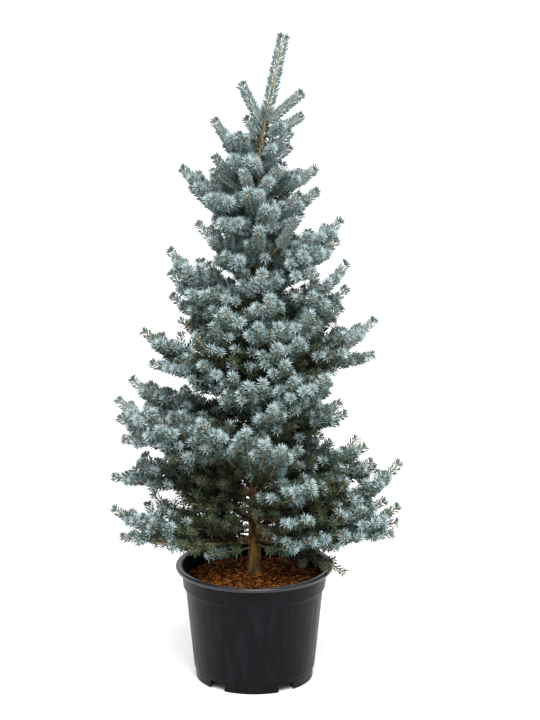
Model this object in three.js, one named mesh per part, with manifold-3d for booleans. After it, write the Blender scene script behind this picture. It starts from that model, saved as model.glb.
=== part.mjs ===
// A blue spruce sapling, 1.5 m tall to the tip of its leader, in a round nursery pot.
// Millimetres, +Z up, origin at the centre of the pot's flat underside. The front is -Y.
// Trunk, limbs, foliage masses, soil and pot are separate solids that keep GAP between them.
import * as THREE from "three";
import { mergeVertices } from "three/addons/utils/BufferGeometryUtils.js";
import Module from "manifold-3d";

const wasm = await Module();
wasm.setup();

// ---------------------------------------------------------------- driving dimensions
const GAP = 0.3; // clearance between neighbouring solids
const TREE_TOP = 1500;

const POT = {
  height: 270,
  rim: 181, // radii from here on
  collarTop: 168,
  collarFoot: 164,
  bodyTop: 158.5,
  bodyFoot: 139,
  foot: 135,
  pad: 68,
  wall: 3,
  lipZ: 260, // heights from here on
  lipEase: 3, // how far the rolled lip's edges are rounded off
  collarFootZ: 218,
  ledge: 5, // how far the wall's inner step stands above the outer one
  footZ: 21,
  channel: 16, // drain channel round the standing pad
};
const ROUND = 32; // flat sides of the pot and of the soil in it
const NOTCHES = { count: 5, first: -129, width: 41, height: 16, depth: 24 };
const DRAINS = { count: 5, first: -93, radius: 9, ring: 100, depth: 30, sides: 8 };
const SOIL = { edgeZ: 232, topZ: 250, flat: 26, shoulder: 0.6 };

const TRUNK = { foot: 15.6, tip: 1.6, taper: 1.15, flare: 5, flareHeight: 14 };
const TRUNK_FACES = { sides: 9, rings: 16, crowd: 1.25 }; // crowd: above 1 the rings crowd near the flare
const LEAN = { drift: 12, kinkZ: 1242, slope: 0.213, soft: 18, sway: 4, wave: 600 };
const LEADER = { from: 1318, core: 5.6, tipCore: 3.5, cap: 24, sides: 6, tiers: 6, reach: 16, sweep: 1 };

const LIMB = { base: 1.5, perReach: 0.0125, taper: 0.75, sides: 6, rings: 4 };

// Growth rule of a spray: a node each season back from the tip, with a pair of laterals at each.
const GROWTH = {
  season: [84, 56],
  firstNode: 0.2, // no node nearer the stem than this share of the axis
  share: 0.6, // length of a lateral for each millimetre from its node to the tip
  extra: 10,
  uneven: 0.3, // spread of the lengths about that rule
  longest: 118,
  shortest: 30,
  cuts: [1, 0.75, 0.55], // a lateral with no room is shortened to these shares, or left out
  tested: [0.6, 1], // the shares of its length where a lateral needs room
  fork: 47, // degrees from the axis
  forkSpread: 12,
  tilt: 9, // degrees above the plane of the spray
  tiltSpread: 26,
  lift: 0.12, // how far a lateral's tip turns up, for each millimetre of length
  branching: 125, // a lateral at least this long has laterals of its own
};
// Needles stand out by reach and forward by sweep times that. A tuft's are shorter, and end with the twig.
const NEEDLES = { reach: 26, sweep: 0.7, least: 7, tier: 48, fewest: 2, most: 4 };
const TUFT = { reach: 14, sweep: 0.9 };
const CORE = { root: 3.4, twigRoot: 2.9, tip: 1.7, onLimb: 1.15, sides: 3 };
// Clear room that needles and twigs keep: to the next mass and its stem, the bark, the soil and the rim.
const CLEAR = { mass: 1, stem: 7, bark: 1, soil: 2, rim: 9, rimIn: 7, rimDown: 6, twig: 2 };

// Boughs: height of the root on the trunk, bearing in degrees (0 right, 90 back, 180 left, 270 front),
// reach from the trunk's axis, rise from root to tip, sag (0.5 is straight, less turns up at the tip),
// and the share of its length where the limb ends and the foliage begins (0: foliage from the trunk).
const BOUGHS = {
  low_left: [335, 186, 325, 80, -0.6, 0.3],
  low_right: [350, 349, 335, 80, -0.95, 0.34],
  low_back_left: [365, 135, 315, 75, 0.6, 0.3],
  low_back_right: [350, 45, 320, 90, 0.2, 0.3],
  low_front_right: [330, 312, 200, 40, 0.3, 0],
  low_right_droop: [325, 345, 215, -60, 0, 0],
  low_front_left: [310, 222, 140, 10, 0.4, 0],
  second_left: [415, 176, 325, 55, 0.8, 0.3],
  second_left_high: [430, 191, 315, 250, 0.3, 0.3],
  second_front_left: [470, 242, 250, 205, 0.3, 0.3],
  second_front: [440, 266, 250, 220, 0.3, 0.3],
  second_right_front: [410, 303, 240, 100, 0.3, 0],
  second_right: [430, 24, 260, 110, -0.3, 0],
  mid_right: [390, 3, 335, 120, -0.75, 0.32],
  second_back_left: [440, 118, 255, 135, 0.25, 0.3],
  second_back_right: [440, 62, 290, 130, 0.25, 0.3],
  third_left: [500, 168, 290, 195, 0.25, 0.3],
  third_front_right: [556, 310, 250, 212, 0.4, 0.48],
  third_front: [600, 266, 195, 150, 0.3, 0],
  third_right: [545, 8, 210, 75, 0.4, 0],
  third_back: [584, 92, 265, 100, 0.25, 0],
  fourth_left: [664, 180, 255, 160, 0.18, 0.4],
  fourth_right: [680, 0, 270, 170, 0.2, 0.34],
  fourth_front: [735, 272, 190, 150, 0.3, 0],
  fourth_front_left: [690, 223, 185, 155, 0.3, 0],
  fourth_front_right: [695, 298, 205, 155, 0.3, 0],
  fourth_back: [700, 90, 240, 135, 0.25, 0],
  fifth_left: [780, 182, 195, 235, 0.35, 0],
  fifth_right: [755, 357, 205, 230, 0.35, 0],
  fifth_front_left: [786, 246, 172, 124, 0.3, 0],
  fifth_back: [800, 95, 185, 160, 0.3, 0],
  sixth_left: [938, 178, 134, 134, 0.35, 0],
  sixth_right: [910, 2, 190, 170, 0.35, 0],
  sixth_front: [884, 277, 112, 104, 0.25, 0],
  sixth_back: [930, 90, 150, 120, 0.3, 0],
  seventh_left: [1045, 181, 170, 155, 0.4, 0],
  seventh_right: [1035, 358, 135, 115, 0.4, 0],
  eighth_left: [1170, 184, 100, 140, 0.4, 0],
  eighth_right: [1115, 5, 130, 80, 0.4, 0],
  top_left: [1285, 186, 50, 105, 0.5, 0],
  top_right: [1295, 352, 85, 75, 0.5, 0],
};

const paint = (color, roughness) => new THREE.MeshStandardMaterial({ color, roughness, metalness: 0 });
const FINISH = {
  pot: paint(0x2a2c2f, 0.55),
  soil: paint(0x5d381d, 0.95),
  bark: paint(0x6a523b, 0.9),
  needles: paint(0x87a3ae, 0.7),
};

// ---------------------------------------------------------------- solids and meshes
const up = new THREE.Vector3(0, 0, 1);
const radians = THREE.MathUtils.degToRad;

function solidOf(geometry) {
  const loose = geometry.index ? geometry.toNonIndexed() : geometry.clone();
  const bare = new THREE.BufferGeometry().setAttribute("position", loose.attributes.position);
  const merged = mergeVertices(bare, 1e-3);
  const corners = merged.index.array;
  const faces = [];
  for (let i = 0; i < corners.length; i += 3) {
    const [a, b, c] = corners.slice(i, i + 3);
    if (a !== b && b !== c && c !== a) faces.push(a, b, c);
  }
  const vertProperties = merged.attributes.position.array;
  return new wasm.Manifold(new wasm.Mesh({ numProp: 3, vertProperties, triVerts: new Uint32Array(faces) }));
}

function meshOf(name, solid, material) {
  const { vertProperties, triVerts } = solid.getMesh();
  const geometry = new THREE.BufferGeometry();
  geometry.setAttribute("position", new THREE.BufferAttribute(new Float32Array(vertProperties), 3));
  geometry.setIndex(new THREE.BufferAttribute(new Uint32Array(triVerts), 1));
  const mesh = new THREE.Mesh(geometry, material);
  mesh.name = name;
  return mesh;
}

function lathe(profile) {
  const points = profile.map(([radius, z]) => new THREE.Vector2(radius, z));
  return new THREE.LatheGeometry(points, ROUND).rotateX(Math.PI / 2);
}

// The seeded draw that every part of the growth rule takes its variation from: 0 to 1.
function chance(seed, draw) {
  const wave = Math.sin(seed * 127.1 + draw * 311.7) * 43758.5453;
  return wave - Math.floor(wave);
}

// ---------------------------------------------------------------- pot and soil
const STEP_IN = { z: POT.collarFootZ + POT.ledge, radius: POT.collarFoot - POT.wall };
const MOUTH = { z: POT.height - POT.lipEase, radius: POT.collarTop - POT.wall };

// Inner wall of the pot from its floor to the step under the collar, set in by a clearance.
function innerWall(inset) {
  const floor = POT.channel + POT.wall + inset;
  return [
    [0, POT.wall + inset],
    [POT.pad - POT.wall - inset, POT.wall + inset],
    [POT.pad + 1 - inset, floor],
    [POT.bodyFoot - POT.wall - inset, floor],
    [POT.bodyTop - POT.wall - inset, POT.collarFootZ],
    [STEP_IN.radius - inset, STEP_IN.z],
  ];
}

function potSolid() {
  const outside = [
    [0, 0],
    [POT.pad, 0],
    [POT.pad + 5, POT.channel],
    [POT.foot - POT.wall, POT.channel],
    [POT.foot - POT.wall, 0],
    [POT.foot, 0],
    [POT.foot, POT.footZ],
    [POT.bodyFoot, POT.footZ + 2],
    [POT.bodyTop, POT.collarFootZ - 2],
    [POT.collarFoot, POT.collarFootZ],
    [POT.collarTop, POT.lipZ],
    [POT.rim, POT.lipZ],
    [POT.rim, POT.height - POT.lipEase],
    [POT.rim - POT.lipEase, POT.height],
    [POT.collarTop, POT.height],
    [MOUTH.radius, MOUTH.z],
  ];
  let pot = solidOf(lathe([...outside, ...innerWall(0).reverse()]));
  for (let n = 0; n < NOTCHES.count; n++) {
    const notch = new THREE.BoxGeometry(NOTCHES.depth, NOTCHES.width, 2 * NOTCHES.height);
    notch.translate(POT.foot, 0, 0).rotateZ(radians(NOTCHES.first + (360 / NOTCHES.count) * n));
    pot = pot.subtract(solidOf(notch));
  }
  for (let n = 0; n < DRAINS.count; n++) {
    const drain = new THREE.CylinderGeometry(DRAINS.radius, DRAINS.radius, DRAINS.depth, DRAINS.sides);
    drain.rotateX(Math.PI / 2).translate(DRAINS.ring, 0, POT.channel);
    pot = pot.subtract(solidOf(drain.rotateZ(radians(DRAINS.first + (360 / DRAINS.count) * n))));
  }
  return pot;
}

function soilSolid() {
  const slope = (MOUTH.radius - STEP_IN.radius) / (MOUTH.z - STEP_IN.z);
  const edge = STEP_IN.radius - GAP + slope * (SOIL.edgeZ - STEP_IN.z);
  const shoulderZ = SOIL.edgeZ + SOIL.shoulder * (SOIL.topZ - SOIL.edgeZ);
  const surface = [
    [edge, SOIL.edgeZ],
    [edge * SOIL.shoulder, shoulderZ],
    [SOIL.flat, SOIL.topZ],
    [0, SOIL.topZ],
  ];
  return solidOf(lathe([...innerWall(GAP), ...surface]));
}

// ---------------------------------------------------------------- trunk
// Centre of the trunk at height z: nearly upright, then leaning to the right above the last whorl.
function trunkAt(z) {
  const share = Math.max(0, (z - SOIL.topZ) / (LEAN.kinkZ - SOIL.topZ));
  const lean = LEAN.slope * LEAN.soft * Math.log(1 + Math.exp((z - LEAN.kinkZ) / LEAN.soft));
  const x = LEAN.drift * Math.min(1, share) ** 1.5 + lean;
  return new THREE.Vector3(x, LEAN.sway * Math.sin((Math.PI * (z - SOIL.topZ)) / LEAN.wave), z);
}

function trunkRadius(z) {
  const left = Math.max(0, (TREE_TOP - z) / (TREE_TOP - SOIL.topZ));
  const flare = TRUNK.flare * Math.exp((SOIL.topZ - z) / TRUNK.flareHeight);
  return TRUNK.tip + (TRUNK.foot - TRUNK.tip) * left ** TRUNK.taper + flare;
}

// The trunk or, with a margin, the space that everything round it leaves free.
function trunkSolid(margin) {
  const shape = new THREE.CylinderGeometry(1, 1, 1, TRUNK_FACES.sides, TRUNK_FACES.rings);
  shape.rotateX(Math.PI / 2);
  const places = shape.attributes.position;
  const ground = SOIL.topZ + GAP - margin;
  const top = TREE_TOP - LEADER.cap + margin;
  for (let i = 0; i < places.count; i++) {
    const share = places.getZ(i) + 0.5;
    const z = ground + (top - ground) * share ** TRUNK_FACES.crowd;
    const centre = trunkAt(z);
    const radius = trunkRadius(z) + margin;
    places.setXYZ(i, centre.x + radius * places.getX(i), centre.y + radius * places.getY(i), z);
  }
  return solidOf(shape);
}

// ---------------------------------------------------------------- boughs
function boughPath([z, bearing, reach, rise, sag]) {
  const root = trunkAt(z);
  const out = new THREE.Vector3(Math.cos(radians(bearing)), Math.sin(radians(bearing)), 0);
  const middle = root.clone().addScaledVector(out, reach / 2).addScaledVector(up, rise * sag);
  const tip = root.clone().addScaledVector(out, reach).addScaledVector(up, rise);
  return new THREE.QuadraticBezierCurve3(root, middle, tip);
}

const limbRadius = (reach, share) => (LIMB.base + LIMB.perReach * reach) * (1 - LIMB.taper * share);

// Axes across a curve at a share of its length: to the left, upwards, and along it.
function across(curve, share) {
  const along = curve.getTangent(share);
  const left = new THREE.Vector3().crossVectors(up, along);
  if (left.length() < 0.25) left.set(1, 0, 0).addScaledVector(along, -along.x);
  left.normalize();
  return { left, over: new THREE.Vector3().crossVectors(along, left), along };
}

function limbSolid(path, reach, end, freeOfTrunk) {
  const shape = new THREE.CylinderGeometry(1, 1, 1, LIMB.sides, LIMB.rings);
  const places = shape.attributes.position;
  const last = end - (0.5 * GAP) / path.getLength();
  for (let i = 0; i < places.count; i++) {
    const share = (places.getY(i) + 0.5) * last;
    const { left, over } = across(path, share);
    const radius = limbRadius(reach, share);
    const place = path.getPoint(share).addScaledVector(left, places.getX(i) * radius);
    place.addScaledVector(over, -places.getZ(i) * radius);
    places.setXYZ(i, place.x, place.y, place.z);
  }
  return solidOf(shape).subtract(freeOfTrunk);
}

// ---------------------------------------------------------------- the space each mass keeps to
const PATHS = Object.fromEntries(Object.entries(BOUGHS).map(([name, bough]) => [name, boughPath(bough)]));
PATHS.leader = new THREE.LineCurve3(trunkAt(LEADER.from), trunkAt(TREE_TOP));
const TRACKS = Object.fromEntries(Object.entries(PATHS).map(([name, path]) => [name, path.getPoints(8)]));
const piece = new THREE.Line3();
const nearest = new THREE.Vector3();

function distanceTo(track, place) {
  let least = Infinity;
  for (let i = 1; i < track.length; i++) {
    piece.set(track[i - 1], track[i]).closestPointToPoint(place, true, nearest);
    least = Math.min(least, nearest.distanceTo(place));
  }
  return least;
}

// How far needles may stand out at a place: to the border with the next mass, the trunk, the soil or the pot.
function roomAt(place, name) {
  const own = distanceTo(TRACKS[name], place);
  const others = Object.keys(TRACKS).filter((other) => other !== name);
  const next = Math.min(...others.map((other) => distanceTo(TRACKS[other], place)));
  const axis = trunkAt(Math.min(place.z, TREE_TOP));
  const toBark = Math.hypot(place.x - axis.x, place.y - axis.y) - trunkRadius(place.z) - CLEAR.bark;
  const bark = name === "leader" ? Infinity : toBark;
  const radius = Math.hypot(place.x, place.y);
  const toRim = Math.hypot(radius - POT.rim + CLEAR.rimIn, place.z - POT.height + CLEAR.rimDown);
  const soil = radius < POT.rim ? place.z - SOIL.topZ - CLEAR.soil : Infinity;
  return Math.min((next - own) / 2 - CLEAR.mass, next - CLEAR.stem, bark, toRim - CLEAR.rim, soil);
}

// ---------------------------------------------------------------- foliage
// A spray is one closed body: a slim core along the curve, with a whorl of pointed needles on each tier
// and a tuft at the tip. Tiers turn by half a side, so that needles stand between those of the last tier.
// No needle stands on the tiers before the one numbered bare.
function spraySolid(name, curve, from, radii, tiers, options = {}) {
  const { sides = CORE.sides, bare = 0, needles = NEEDLES } = options;
  const vertices = [];
  const faces = [];
  const tuftFrom = 1 - (TUFT.reach * TUFT.sweep) / curve.getLength();
  const shareOf = (tier) => from + ((tuftFrom - from) * Math.min(tier, tiers + 0.5)) / (tiers + 0.5);
  const ring = (tier) => {
    const { left, over } = across(curve, shareOf(tier));
    const radius = radii[0] + ((radii[1] - radii[0]) * tier) / tiers;
    for (let i = 0; i < sides; i++) {
      const angle = (2 * Math.PI * (i + tier / 2)) / sides;
      const place = curve.getPoint(shareOf(tier)).addScaledVector(left, radius * Math.cos(angle));
      vertices.push(place.addScaledVector(over, radius * Math.sin(angle)));
    }
  };
  const needleOn = (corners, tier, { reach, sweep }) => {
    const { along } = across(curve, shareOf(tier + 0.5));
    const centre = curve.getPoint(shareOf(tier + 0.5));
    const ahead = centre.clone().addScaledVector(along, reach * sweep);
    const room = Math.min(reach, roomAt(centre, name), roomAt(ahead, name));
    if (room < NEEDLES.least || tier < bare) return faces.push(corners);
    const outward = new THREE.Vector3();
    for (const corner of corners) outward.add(vertices[corner]).sub(centre);
    outward.addScaledVector(along, -outward.dot(along)).normalize();
    const point = vertices.length;
    vertices.push(centre.addScaledVector(outward, room).addScaledVector(along, room * sweep));
    const [a, b, c] = corners;
    return faces.push([a, b, point], [b, c, point], [c, a, point]);
  };
  for (let tier = 0; tier <= tiers; tier++) ring(tier);
  for (let i = 1; i < sides - 1; i++) faces.push([0, i + 1, i]);
  for (let tier = 0; tier < tiers; tier++) {
    for (let i = 0; i < sides; i++) {
      const next = (i + 1) % sides;
      const here = tier * sides;
      const ahead = here + sides;
      // Corner i of the ring ahead stands between this ring's corner i and its next one.
      needleOn([here + i, here + next, ahead + i], tier, needles);
      faces.push([here + next, ahead + next, ahead + i]);
    }
  }
  const last = tiers * sides;
  const tip = vertices.push(curve.getPoint(tuftFrom)) - 1;
  for (let i = 0; i < sides; i++) needleOn([last + i, last + ((i + 1) % sides), tip], tiers, TUFT);
  const geometry = new THREE.BufferGeometry().setFromPoints(vertices);
  geometry.setIndex(faces.flat());
  return solidOf(geometry);
}

const tierCount = (length) => Math.max(NEEDLES.fewest, Math.round(length / NEEDLES.tier));
const tiersFor = (length) => Math.min(NEEDLES.most, tierCount(length));

function twigCurve(root, way, size) {
  const middle = root.clone().addScaledVector(way, size / 2);
  const tip = root.clone().addScaledVector(way, size).addScaledVector(up, size * GROWTH.lift);
  return new THREE.QuadraticBezierCurve3(root, middle, tip);
}

// Laterals of an axis by the growth rule. Each is shortened until it fits the mass's own space, or left out.
function laterals(name, curve, from, order, seed) {
  const length = curve.getLength();
  const found = [];
  for (let node = 1; ; node++) {
    const distance = node * GROWTH.season[order];
    const share = 1 - distance / length;
    if (share < from + GROWTH.firstNode * (1 - from)) return found;
    for (const side of [-1, 1]) {
      const draw = 10 * node + (side > 0 ? 5 : 0);
      const fork = radians(GROWTH.fork + GROWTH.forkSpread * (chance(seed, draw) - 0.5));
      const tilt = radians(GROWTH.tilt + GROWTH.tiltSpread * (chance(seed, draw + 1) - 0.5));
      const vigour = 1 + GROWTH.uneven * (chance(seed, draw + 2) - 0.5);
      const grown = Math.min(GROWTH.longest, GROWTH.share * distance + GROWTH.extra) * vigour;
      const { left, over, along } = across(curve, share);
      const way = along.clone().multiplyScalar(Math.cos(fork));
      way.addScaledVector(left, side * Math.sin(fork) * Math.cos(tilt));
      way.addScaledVector(over, Math.sin(fork) * Math.sin(tilt));
      const twigOf = (size) => twigCurve(curve.getPoint(share), way, size);
      const hasRoom = (place) => roomAt(place, name) > NEEDLES.least + CLEAR.twig;
      const fits = (size) => GROWTH.tested.every((at) => hasRoom(twigOf(size).getPoint(at)));
      const sizes = GROWTH.cuts.map((cut) => cut * grown).filter((size) => size >= GROWTH.shortest);
      const size = sizes.find(fits);
      if (size) found.push({ curve: twigOf(size), size, seed: seed * 3.7 + draw });
    }
  }
}

function foliageSolid(name, reach, end, seed, freeOfTrunk) {
  const path = PATHS[name];
  const length = path.getLength();
  const from = end ? end + (0.5 * GAP) / length : 0;
  const stem = [CORE.onLimb * limbRadius(reach, from), CORE.tip];
  let mass = spraySolid(name, path, from, stem, tiersFor(length * (1 - from)), { bare: end ? 0 : 1 });
  for (const branch of laterals(name, path, from, 0, seed)) {
    mass = mass.add(spraySolid(name, branch.curve, 0, [CORE.root, CORE.tip], tiersFor(branch.size)));
    if (branch.size < GROWTH.branching) continue;
    for (const twig of laterals(name, branch.curve, 0, 1, branch.seed)) {
      mass = mass.add(spraySolid(name, twig.curve, 0, [CORE.twigRoot, CORE.tip], tiersFor(twig.size)));
    }
  }
  return mass.subtract(freeOfTrunk);
}

// The leader's needles stand on a sleeve round the top of the trunk, closed over its tip.
function leaderSolid(freeOfTrunk) {
  const options = { sides: LEADER.sides, needles: LEADER };
  const radii = [LEADER.core, LEADER.tipCore];
  return spraySolid("leader", PATHS.leader, 0, radii, LEADER.tiers, options).subtract(freeOfTrunk);
}

// ---------------------------------------------------------------- assembly
const spruce = new THREE.Group();
const freeOfTrunk = trunkSolid(GAP);
spruce.add(meshOf("pot", potSolid(), FINISH.pot));
spruce.add(meshOf("soil", soilSolid(), FINISH.soil));
spruce.add(meshOf("trunk", trunkSolid(0), FINISH.bark));
Object.entries(BOUGHS).forEach(([name, [, , reach, , , end]], index) => {
  if (end) spruce.add(meshOf(`limb_${name}`, limbSolid(PATHS[name], reach, end, freeOfTrunk), FINISH.bark));
  const mass = foliageSolid(name, reach, end, index + 1, freeOfTrunk);
  spruce.add(meshOf(`foliage_${name}`, mass, FINISH.needles));
});
spruce.add(meshOf("foliage_leader", leaderSolid(freeOfTrunk), FINISH.needles));

export default spruce;
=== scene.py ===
import itertools
import math

import bmesh
import bpy
import numpy as np
from mathutils import Matrix, Vector, noise


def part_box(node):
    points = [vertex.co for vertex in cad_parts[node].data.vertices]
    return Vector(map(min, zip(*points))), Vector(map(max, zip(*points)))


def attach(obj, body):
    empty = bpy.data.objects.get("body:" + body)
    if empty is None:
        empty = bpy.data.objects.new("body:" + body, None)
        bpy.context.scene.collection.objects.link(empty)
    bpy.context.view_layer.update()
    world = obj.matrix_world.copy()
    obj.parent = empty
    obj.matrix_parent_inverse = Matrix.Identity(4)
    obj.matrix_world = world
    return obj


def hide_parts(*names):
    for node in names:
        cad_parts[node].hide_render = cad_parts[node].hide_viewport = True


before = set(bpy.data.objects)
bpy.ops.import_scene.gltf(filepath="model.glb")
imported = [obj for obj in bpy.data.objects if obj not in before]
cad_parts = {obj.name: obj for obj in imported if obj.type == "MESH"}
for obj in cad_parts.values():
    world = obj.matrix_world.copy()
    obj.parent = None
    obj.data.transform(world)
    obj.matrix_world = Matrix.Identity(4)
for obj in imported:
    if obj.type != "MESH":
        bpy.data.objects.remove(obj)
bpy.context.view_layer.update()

# ---------------------------------------- camera and studio
# A long lens in front of the plant and above it, a pale floor that runs out of view on every side, and
# soft light: a white sky that is brightest overhead, and one broad lamp high in front, a little to the right.
CAMERA = {"place": (0.036, -6.9, 2.65), "down": 15.36, "lens": 158.4}
FLOOR_SIZE, FLOOR_SHADE = 45, 0.77
SKY = {"low": 0.6, "high": 1.9, "tint": (0.99, 0.995, 1, 1)}
KEY = {"power": 3.6, "breadth": 38, "towards": (-0.1, 0.7, -1.0)}
scene = bpy.context.scene
scene.view_settings.view_transform = "Standard"

lens = bpy.data.cameras.new("camera")
lens.lens = CAMERA["lens"]
camera = bpy.data.objects.new("camera", lens)
camera.location = CAMERA["place"]
camera.rotation_euler = (math.radians(90 - CAMERA["down"]), 0, 0)
scene.collection.objects.link(camera)
scene.camera = camera


def finished(bm, name):
    """The mesh that a bmesh has built."""
    mesh = bpy.data.meshes.new(name)
    bm.to_mesh(mesh)
    bm.free()
    return mesh


def put_in_scene(name, mesh, slot, *materials):
    """A finished piece: its mesh in the scene at the origin, riding on the plant's one body if it is given a
    slot.
    """
    piece = bpy.data.objects.new(name, mesh)
    for material in materials:
        mesh.materials.append(material)
    scene.collection.objects.link(piece)
    if slot:
        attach(piece, "root")
    return piece


def new_material(name, **settings):
    """A Principled material with these values set on the shader's own sockets."""
    material = bpy.data.materials.new(name)
    material.use_nodes = True
    shader = material.node_tree.nodes["Principled BSDF"]
    for socket, value in settings.items():
        shader.inputs[socket.replace("_", " ")].default_value = value
    return material, material.node_tree, shader


def wire(tree, *links):
    """Joins sockets in a node tree: each link is a node, its output, the next node and its input."""
    for start, output, end, socket in links:
        tree.links.new(start.outputs[output], end.inputs[socket])


def srgb(red, green, blue):
    """The linear colour of a tint that is named in the 0 to 255 steps of a colour chart."""
    steps = (red, green, blue)
    return (*[(c / 255 / 12.92) if c <= 10 else ((c / 255 + 0.055) / 1.055) ** 2.4 for c in steps], 1)


bm = bmesh.new()
bmesh.ops.create_grid(bm, x_segments=1, y_segments=1, size=FLOOR_SIZE)
floor_paint, _, _ = new_material("floor_paint", Base_Color=(*[FLOOR_SHADE] * 3, 1), Roughness=0.9)
put_in_scene("floor", finished(bm, "floor"), None, floor_paint)

sky = bpy.data.worlds.new("sky")
scene.world = sky
sky.use_nodes = True
sky_nodes = sky.node_tree.nodes
direction = sky_nodes.new("ShaderNodeTexCoord")
height = sky_nodes.new("ShaderNodeSeparateXYZ")
brightness = sky_nodes.new("ShaderNodeMapRange")
brightness.inputs["To Min"].default_value = SKY["low"]
brightness.inputs["To Max"].default_value = SKY["high"]
sky_nodes["Background"].inputs["Color"].default_value = SKY["tint"]
wire(sky.node_tree, (direction, "Generated", height, "Vector"), (height, "Z", brightness, "Value"),
     (brightness, "Result", sky_nodes["Background"], "Strength"))

lamp = bpy.data.lights.new("key_lamp", "SUN")
lamp.energy = KEY["power"]
lamp.angle = math.radians(KEY["breadth"])
key = bpy.data.objects.new("key_lamp", lamp)
key.rotation_euler = Vector(KEY["towards"]).to_track_quat("-Z", "Y").to_euler()
scene.collection.objects.link(key)

# ---------------------------------------- pot
# A blown and trimmed nursery pot of charcoal polypropylene, 3 mm thick: a rolled lip, a plain collar with a
# step under it, a slightly fluted body that narrows downwards, and a foot ring with five notches for the
# water that leaves by the drain holes behind them. It is turned from one outline; notches and drains are cut.
MM = 0.001
POT_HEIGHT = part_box("pot")[1][2]
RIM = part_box("pot")[1][0]
WALL = 3 * MM
COLLAR_TOP = RIM - 13 * MM
COLLAR_FOOT = RIM - 17 * MM
BODY_TOP = RIM - 22.5 * MM
BODY_FOOT = RIM - 42 * MM
FOOT = RIM - 46 * MM
PAD = 68 * MM
LIP_Z = POT_HEIGHT - 10 * MM
COLLAR_Z = POT_HEIGHT - 52 * MM
FOOT_Z = 26 * MM
CHANNEL = 16 * MM
POT_STEPS = 360
LIP_ROUND = 4.4 * MM
EDGE_ROUND = 2.2 * MM
FLUTES = {"count": 40, "depth": 0.15 * MM, "foot_fade": 12, "collar_fade": 9}
NOTCH = {"count": 5, "first": -129, "width": 41 * MM, "height": 17.5 * MM, "depth": 24 * MM, "round": 2 * MM}
DRAIN = {"count": 5, "first": -93, "radius": 9 * MM, "ring": 100 * MM, "depth": 30 * MM}
SHARPEST_SMOOTH = 38


def turned(outline, steps):
    """The mesh that an outline of (radius, height) makes when it is spun once round the upright axis."""
    bm = bmesh.new()
    corners = [bm.verts.new((radius, 0, z)) for radius, z in outline]
    for low, high in zip(corners, corners[1:]):
        bm.edges.new((low, high))
    bmesh.ops.spin(bm, geom=bm.verts[:] + bm.edges[:], cent=(0, 0, 0), axis=(0, 0, 1), angle=2 * math.pi,
                   steps=steps, use_merge=True, use_normal_flip=False, use_duplicate=False)
    bmesh.ops.remove_doubles(bm, verts=bm.verts, dist=0.01 * MM)
    bmesh.ops.recalc_face_normals(bm, faces=bm.faces)
    return bm


def arc(centre, radius, start, end, points):
    """Points on an arc of the outline, from one angle to another in degrees."""
    angles = np.radians(np.linspace(start, end, points))
    return [(centre[0] + radius * math.cos(a), centre[1] + radius * math.sin(a)) for a in angles]


body_heights = np.linspace(FOOT_Z + 4 * MM, COLLAR_Z - 5 * MM, 12)
body_wall = [(np.interp(z, (FOOT_Z, COLLAR_Z), (BODY_FOOT, BODY_TOP)), z) for z in body_heights]
pot_outline = (
    [(0, 0), (PAD, 0), (PAD + 5 * MM, CHANNEL), (FOOT - WALL, CHANNEL), (FOOT - WALL, 0)]
    + arc((FOOT - EDGE_ROUND, EDGE_ROUND), EDGE_ROUND, -90, 0, 5)
    + [(FOOT + 0.4 * MM, FOOT_Z - 1.5 * MM), (FOOT + 1.2 * MM, FOOT_Z - 0.3 * MM)]
    + [(BODY_FOOT - 0.6 * MM, FOOT_Z + 0.6 * MM), (BODY_FOOT + 0.1 * MM, FOOT_Z + 1.8 * MM)]
    + body_wall
    + [(BODY_TOP, COLLAR_Z - 2.4 * MM), (BODY_TOP + 0.5 * MM, COLLAR_Z - 1.2 * MM)]
    + [(COLLAR_FOOT - 1.2 * MM, COLLAR_Z + 0.8 * MM), (COLLAR_FOOT - 0.2 * MM, COLLAR_Z + 2.2 * MM)]
    + [(COLLAR_FOOT + 0.1 * MM, COLLAR_Z + 5 * MM), (COLLAR_TOP - 0.3 * MM, LIP_Z - 4 * MM)]
    + arc((COLLAR_TOP + EDGE_ROUND, LIP_Z - EDGE_ROUND), EDGE_ROUND, 180, 90, 5)
    + arc((RIM - LIP_ROUND, LIP_Z + LIP_ROUND), LIP_ROUND, -80, 0, 6)
    + arc((RIM - LIP_ROUND, POT_HEIGHT - LIP_ROUND), LIP_ROUND, 0, 90, 7)
    + [(COLLAR_TOP + 3.5 * MM, POT_HEIGHT - 0.4 * MM), (COLLAR_TOP + 1 * MM, POT_HEIGHT - 1.4 * MM)]
    + [(COLLAR_TOP - 1.6 * MM, POT_HEIGHT - 1.6 * MM), (COLLAR_TOP - WALL, POT_HEIGHT - WALL)]
    + [(COLLAR_FOOT - WALL, COLLAR_Z + 5 * MM), (BODY_TOP - WALL, COLLAR_Z)]
    + [(BODY_FOOT - WALL, CHANNEL + WALL), (PAD + 1 * MM, CHANNEL + WALL), (PAD - WALL, WALL), (0, WALL)]
)

bm = turned(pot_outline, POT_STEPS)
for vert in bm.verts:
    radius = math.hypot(vert.co.x, vert.co.y)
    if FOOT_Z < vert.co.z < COLLAR_Z and radius > BODY_FOOT - 1 * MM:
        level = (vert.co.z - FOOT_Z) / (COLLAR_Z - FOOT_Z)
        fade = min(1, FLUTES["foot_fade"] * level, FLUTES["collar_fade"] * (1 - level))
        groove = math.cos(FLUTES["count"] * math.atan2(vert.co.y, vert.co.x))
        vert.co.xy *= 1 - FLUTES["depth"] * fade * max(0, groove) / radius
pot_mesh = finished(bm, "pot_shell")


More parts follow.
